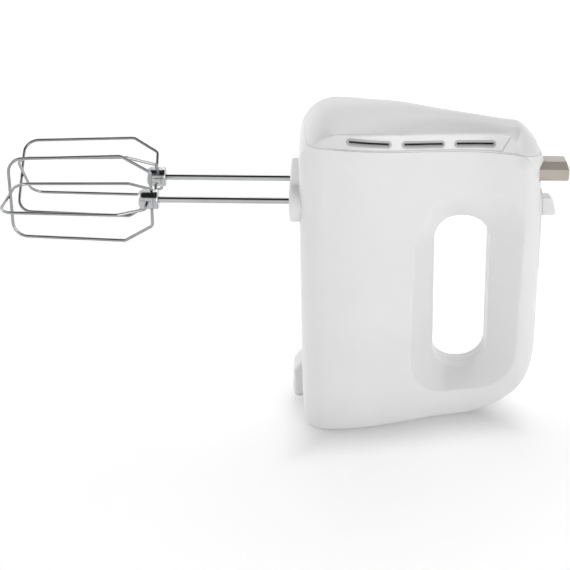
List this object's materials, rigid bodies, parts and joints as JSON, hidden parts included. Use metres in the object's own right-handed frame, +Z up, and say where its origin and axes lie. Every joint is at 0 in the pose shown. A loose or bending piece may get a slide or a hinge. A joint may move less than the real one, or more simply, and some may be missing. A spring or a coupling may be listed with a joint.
{
  "type": "hand mixer",
  "caption": "White electric hand mixer standing on its heel, with two wire cage beaters, a through grip, an eject button and a speed slider.",
  "frame": {"origin": "on the flat face of the heel that the mixer stands on, on its mid plane, 67 mm from the underside", "axes": "+X from the beaters towards the handle, +Y across the body away from the near side, +Z up from the heel to the nose"},
  "size_m": [0.3383, 0.0887, 0.1999],
  "materials": {
    "bearing_bronze": "sintered bronze",
    "board_green": "solder mask",
    "bracket_metal": "die cast",
    "brass": "drawn brass",
    "capacitor_yellow": "moulded",
    "carbon": "carbon",
    "champagne": "metallic lacquer",
    "chrome": "bright plated",
    "copper": "bare copper",
    "copper_wire": "enamelled copper",
    "dark_plastic": "moulded",
    "frame_plastic": "fibre-filled moulding",
    "gear_nylon": "nylon",
    "gland_rubber": "matte",
    "lamination": "stacked sheet edges",
    "lead_blue": "insulation",
    "lead_brown": "insulation",
    "screw_steel": "zinc plated",
    "shaft_steel": "ground",
    "terminal_white": "moulded",
    "vent_rim": "satin grey",
    "white_shell": "smooth satin gloss moulding"
  },
  "bodies": {
    "housing": {"housing_near": "white_shell", "housing_far": "white_shell", "nose_cover": "white_shell", "vent_inserts_near": "vent_rim", "vent_inserts_far": "vent_rim", "socket_plate": "white_shell", "handle_strip": "white_shell", "slider_track": "white_shell", "cord_outlet": "white_shell", "cord_gland": "gland_rubber", "housing_screws": "screw_steel", "gearbox_frame": "frame_plastic", "frame_screws": "screw_steel", "top_bearing": "bearing_bronze", "front_bracket": "bracket_metal", "front_bearing": "bearing_bronze", "stator_core": "lamination", "field_coils": "copper_wire", "rear_bracket": "bracket_metal", "rear_bearing": "bearing_bronze", "brush_holders": "brass", "brushes": "carbon", "speed_board": "board_green", "capacitor": "capacitor_yellow", "heat_sink": "bracket_metal", "terminal_block": "terminal_white", "switch_base": "dark_plastic", "motor_lead_live": "lead_blue", "motor_lead_neutral": "lead_brown", "eject_spring": "screw_steel"},
    "ejector": {"eject_button": "champagne", "eject_bridge": "frame_plastic"},
    "slider": {"speed_slider": "white_shell", "slider_carriage": "dark_plastic", "switch_contact": "copper"},
    "motor": {"motor_shaft": "shaft_steel", "worm": "shaft_steel", "cooling_fan": "dark_plastic", "rotor_core": "lamination", "rotor_winding": "copper_wire", "commutator": "copper"},
    "gear_set_near": {"gear_near": "gear_nylon", "spindle_near": "shaft_steel", "clip_near": "screw_steel"},
    "gear_set_far": {"gear_far": "gear_nylon", "spindle_far": "shaft_steel", "clip_far": "screw_steel"},
    "push_pin_near": {"pusher_near": "shaft_steel"},
    "push_pin_far": {"pusher_far": "shaft_steel"},
    "beater_near": {"beater_rod_near": "chrome", "beater_collar_near": "chrome", "beater_loop_a_near": "chrome", "beater_loop_b_near": "chrome"},
    "beater_far": {"beater_rod_far": "chrome", "beater_collar_far": "chrome", "beater_loop_a_far": "chrome", "beater_loop_b_far": "chrome"}
  },
  "joints": [
    {"name": "motor_spin", "type": "hinge", "parent": "housing", "child": "motor", "pos_m": [-0.033, 0, 0.1], "axis": [0, 0, 1], "continuous": true},
    {"name": "gear_near_spin", "type": "hinge", "parent": "housing", "child": "gear_set_near", "pos_m": [-0.033, -0.02, 0.146], "axis": [1, 0, 0], "continuous": true},
    {"name": "gear_far_spin", "type": "hinge", "parent": "housing", "child": "gear_set_far", "pos_m": [-0.033, 0.02, 0.146], "axis": [1, 0, 0], "continuous": true},
    {"name": "eject_press", "type": "slide", "parent": "housing", "child": "ejector", "axis": [-1, 0, 0], "range_m": [0, 0.005], "stiffness_N_per_m": 600, "springref_m": -0.006, "deforming": ["eject_spring"]},
    {"name": "push_near_slide", "type": "slide", "parent": "gear_set_near", "child": "push_pin_near", "axis": [-1, 0, 0], "range_m": [0, 0.005]},
    {"name": "push_far_slide", "type": "slide", "parent": "gear_set_far", "child": "push_pin_far", "axis": [-1, 0, 0], "range_m": [0, 0.005]},
    {"name": "beater_near_pull", "type": "slide", "parent": "push_pin_near", "child": "beater_near", "axis": [-1, 0, 0], "range_m": [0, 0.05]},
    {"name": "beater_far_pull", "type": "slide", "parent": "push_pin_far", "child": "beater_far", "axis": [-1, 0, 0], "range_m": [0, 0.05]},
    {"name": "speed_slide", "type": "slide", "parent": "housing", "child": "slider", "axis": [0.0273, 0, -0.9996], "range_m": [0, 0.016]}
  ],
  "couplings": [
    {"joint": "gear_near_spin", "follows": "motor_spin", "ratio": -0.066667},
    {"joint": "gear_far_spin", "follows": "motor_spin", "ratio": 0.066667},
    {"joint": "push_near_slide", "follows": "eject_press", "ratio": 1},
    {"joint": "push_far_slide", "follows": "eject_press", "ratio": 1}
  ]
}
